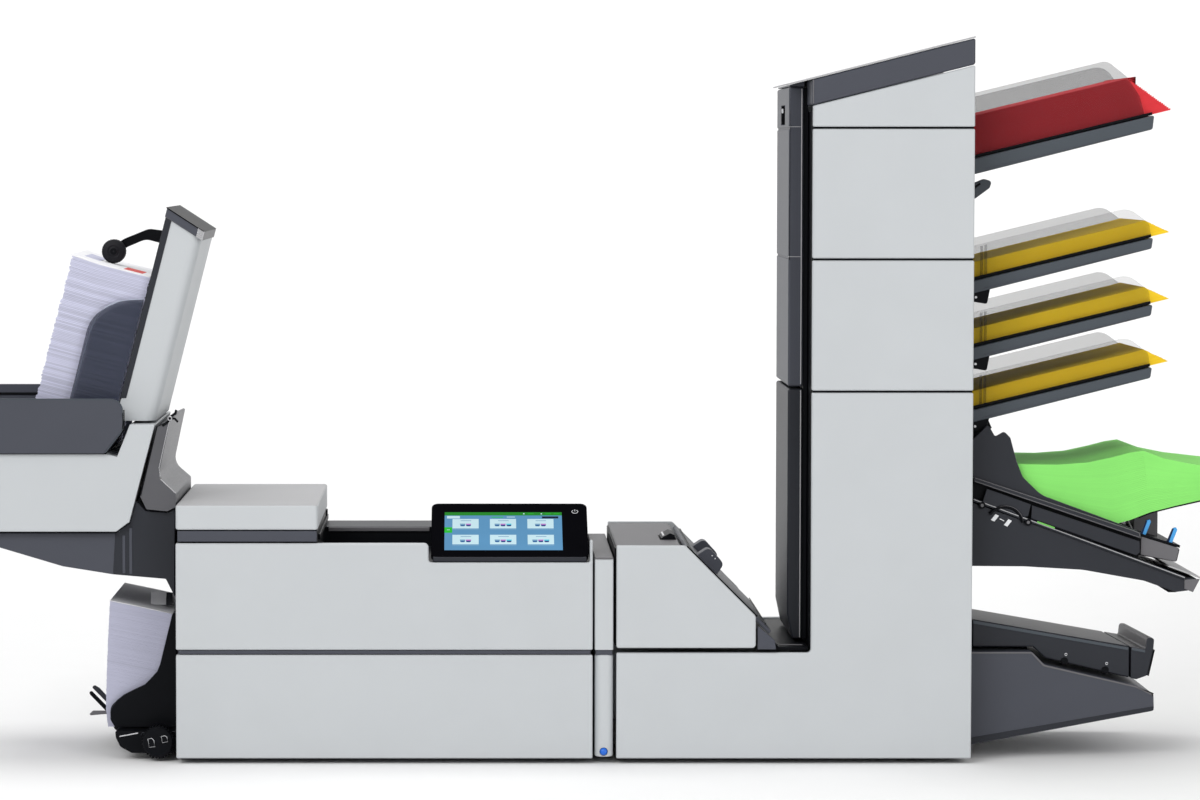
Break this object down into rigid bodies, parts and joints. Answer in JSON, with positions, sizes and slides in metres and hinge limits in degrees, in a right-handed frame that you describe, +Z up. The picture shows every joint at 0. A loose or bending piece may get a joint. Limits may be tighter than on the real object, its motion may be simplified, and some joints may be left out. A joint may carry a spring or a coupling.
{
  "type": "folder inserter",
  "caption": "Mailroom folder-inserter: cabinet with touchscreen, folder, feeder tower with document trays, envelope hopper and tilted output stacker with a weighted roller arm.",
  "frame": {"origin": "on the floor, under the middle of the machine's bounding box", "axes": "+X along the machine towards the feeder trays, +Y from the front covers to the back, +Z up"},
  "size_m": [1.6458, 0.384, 0.9465],
  "materials": {
    "light_panel": "fine-textured light grey paint",
    "lid_grey": "fine-textured warm grey",
    "dark_cover": "satin dark grey moulding",
    "black_plastic": "satin black moulding",
    "zinc_plate": "brushed zinc-plated sheet",
    "roller_rubber": "matt rubber",
    "clear_guide": "clear acrylic with a faint smoke tint",
    "screen_glass": "gloss black touch glass",
    "blue_plastic": "semi-gloss blue moulding",
    "drive_paint": "grey machine enamel"
  },
  "bodies": {
    "machine": {"inserter_upper_panel": "light_panel", "inserter_lower_panel": "light_panel", "inserter_rear_cover": "light_panel", "hinge_column": "light_panel", "folder_side_panel": "light_panel", "lower_tower_panel": "light_panel", "feeder_panel_bottom": "light_panel", "feeder_panel_middle": "light_panel", "feeder_panel_top": "light_panel", "tower_rear_cover": "light_panel", "stacker_body": "light_panel", "backrest": "light_panel", "inserter_frame": "dark_cover", "folder_top_cover": "dark_cover", "tower_cap": "dark_cover", "collator_lower": "dark_cover", "top_tray": "dark_cover", "feeder_tray_1": "dark_cover", "feeder_tray_2": "dark_cover", "feeder_tray_3": "dark_cover", "maxi_body": "dark_cover", "insert_tray": "dark_cover", "stacker_front_wall": "dark_cover", "stacker_underside": "dark_cover", "top_frame": "black_plastic", "display_housing": "black_plastic", "collator_trough": "black_plastic", "tower_frame": "black_plastic", "power_inlet": "black_plastic", "maxi_table": "black_plastic", "hopper_bed": "black_plastic", "power_supply": "zinc_plate", "deflector_plate": "zinc_plate", "display_panel": "screen_glass", "drive_motor": "drive_paint"},
    "top_lid": {"top_lid": "lid_grey"},
    "release_button": {"release_button": "blue_plastic"},
    "folder_latch": {"folder_latch": "black_plastic"},
    "slope_cover": {"slope_cover": "dark_cover"},
    "fold_roller_upper": {"fold_roller_upper": "roller_rubber"},
    "fold_roller_lower": {"fold_roller_lower": "roller_rubber"},
    "collator_door": {"collator_door": "dark_cover"},
    "rocker_switch": {"rocker_switch": "black_plastic"},
    "top_tray_guide": {"top_tray_guide": "clear_guide"},
    "tray_guide_1": {"tray_guide_1": "clear_guide"},
    "tray_guide_2": {"tray_guide_2": "clear_guide"},
    "tray_guide_3": {"tray_guide_3": "clear_guide"},
    "feeder_lever": {"feeder_lever": "black_plastic"},
    "maxi_side_guide": {"maxi_side_guide": "dark_cover"},
    "maxi_lever_1": {"maxi_lever_1": "blue_plastic"},
    "maxi_lever_2": {"maxi_lever_2": "blue_plastic"},
    "insert_cover": {"insert_cover": "black_plastic"},
    "insert_end_stop": {"insert_end_stop": "black_plastic"},
    "stack_arm": {"stack_arm": "black_plastic"},
    "stack_roller": {"stack_roller": "roller_rubber"},
    "stacker_guide": {"stacker_guide": "clear_guide"},
    "hopper_knob": {"hopper_knob": "black_plastic"},
    "hopper_front_guide": {"hopper_front_guide": "black_plastic"},
    "hopper_rear_guide": {"hopper_rear_guide": "black_plastic"},
    "hopper_support": {"hopper_support": "black_plastic"}
  },
  "joints": [
    {"name": "lid_hinge", "type": "hinge", "parent": "machine", "child": "top_lid", "pos_m": [0, 0.172, 0.3073], "axis": [-1, 0, 0], "range_deg": [0, 37]},
    {"name": "release_press", "type": "slide", "parent": "machine", "child": "release_button", "axis": [0, 1, 0], "range_m": [0, 0.002], "stiffness_N_per_m": 600},
    {"name": "folder_latch_hinge", "type": "hinge", "parent": "machine", "child": "folder_latch", "pos_m": [0.132, -0.06, 0.283], "axis": [0, 1, 0], "range_deg": [0, 35]},
    {"name": "slope_cover_hinge", "type": "hinge", "parent": "machine", "child": "slope_cover", "pos_m": [0.256, 0, 0.169], "axis": [0, 1, 0], "range_deg": [0, 40]},
    {"name": "fold_roller_upper_spin", "type": "hinge", "parent": "machine", "child": "fold_roller_upper", "pos_m": [0.14, 0, 0.232], "axis": [0, 1, 0], "continuous": true},
    {"name": "fold_roller_lower_spin", "type": "hinge", "parent": "machine", "child": "fold_roller_lower", "pos_m": [0.158, 0, 0.196], "axis": [0, 1, 0], "continuous": true},
    {"name": "collator_door_hinge", "type": "hinge", "parent": "machine", "child": "collator_door", "pos_m": [0.303, 0.102, 0.491], "axis": [0, 0, -1], "range_deg": [0, 95]},
    {"name": "rocker_tilt", "type": "hinge", "parent": "machine", "child": "rocker_switch", "pos_m": [0.128, 0.181, 0.05], "axis": [1, 0, 0], "range_deg": [0, 12]},
    {"name": "top_tray_guide_slide", "type": "slide", "parent": "machine", "child": "top_tray_guide", "axis": [0, 1, 0], "range_m": [0, 0.08]},
    {"name": "tray_guide_1_slide", "type": "slide", "parent": "machine", "child": "tray_guide_1", "axis": [0, 1, 0], "range_m": [0, 0.08]},
    {"name": "tray_guide_2_slide", "type": "slide", "parent": "machine", "child": "tray_guide_2", "axis": [0, 1, 0], "range_m": [0, 0.08]},
    {"name": "tray_guide_3_slide", "type": "slide", "parent": "machine", "child": "tray_guide_3", "axis": [0, 1, 0], "range_m": [0, 0.08]},
    {"name": "feeder_lever_hinge", "type": "hinge", "parent": "machine", "child": "feeder_lever", "pos_m": [0.526, -0.061, 0.746], "axis": [0, 1, 0], "range_deg": [0, 25]},
    {"name": "maxi_guide_slide", "type": "slide", "parent": "machine", "child": "maxi_side_guide", "axis": [0, 1, 0], "range_m": [0, 0.033]},
    {"name": "maxi_lever_1_hinge", "type": "hinge", "parent": "machine", "child": "maxi_lever_1", "pos_m": [0.7625, -0.108, 0.2915], "axis": [0, 1, 0], "range_deg": [0, 30]},
    {"name": "maxi_lever_2_hinge", "type": "hinge", "parent": "machine", "child": "maxi_lever_2", "pos_m": [0.796, -0.117, 0.2817], "axis": [0, 1, 0], "range_deg": [0, 30]},
    {"name": "insert_cover_hinge", "type": "hinge", "parent": "machine", "child": "insert_cover", "pos_m": [0.53, 0, 0.176], "axis": [0, -1, 0], "range_deg": [0, 11]},
    {"name": "insert_stop_slide", "type": "slide", "parent": "insert_cover", "child": "insert_end_stop", "axis": [0.9845, 0, -0.1754], "range_m": [0, 0.04]},
    {"name": "arm_slide", "type": "slide", "parent": "machine", "child": "stack_arm", "axis": [-0.247, 0, -0.969], "range_m": [0, 0.18]},
    {"name": "stack_roller_spin", "type": "hinge", "parent": "stack_arm", "child": "stack_roller", "pos_m": [-0.6138, 0, 0.667], "axis": [0, 1, 0], "continuous": true},
    {"name": "stacker_guide_slide", "type": "slide", "parent": "machine", "child": "stacker_guide", "axis": [0, -1, 0], "range_m": [0, 0.02]},
    {"name": "hopper_knob_turn", "type": "hinge", "parent": "machine", "child": "hopper_knob", "pos_m": [-0.5462, -0.151, 0.026], "axis": [0, 1, 0], "range_deg": [0, 150]},
    {"name": "hopper_front_guide_slide", "type": "slide", "parent": "machine", "child": "hopper_front_guide", "axis": [0, 1, 0], "range_m": [0, 0.03]},
    {"name": "hopper_rear_guide_slide", "type": "slide", "parent": "machine", "child": "hopper_rear_guide", "axis": [0, -1, 0], "range_m": [0, 0.031]},
    {"name": "hopper_support_fold", "type": "hinge", "parent": "machine", "child": "hopper_support", "pos_m": [-0.619, 0, 0.056], "axis": [0, -1, 0], "range_deg": [0, 50]}
  ],
  "couplings": [
    {"joint": "fold_roller_lower_spin", "follows": "fold_roller_upper_spin", "ratio": -1},
    {"joint": "hopper_knob_turn", "follows": "hopper_front_guide_slide", "rad_per_m": 87},
    {"joint": "hopper_rear_guide_slide", "follows": "hopper_front_guide_slide", "ratio": 1}
  ]
}
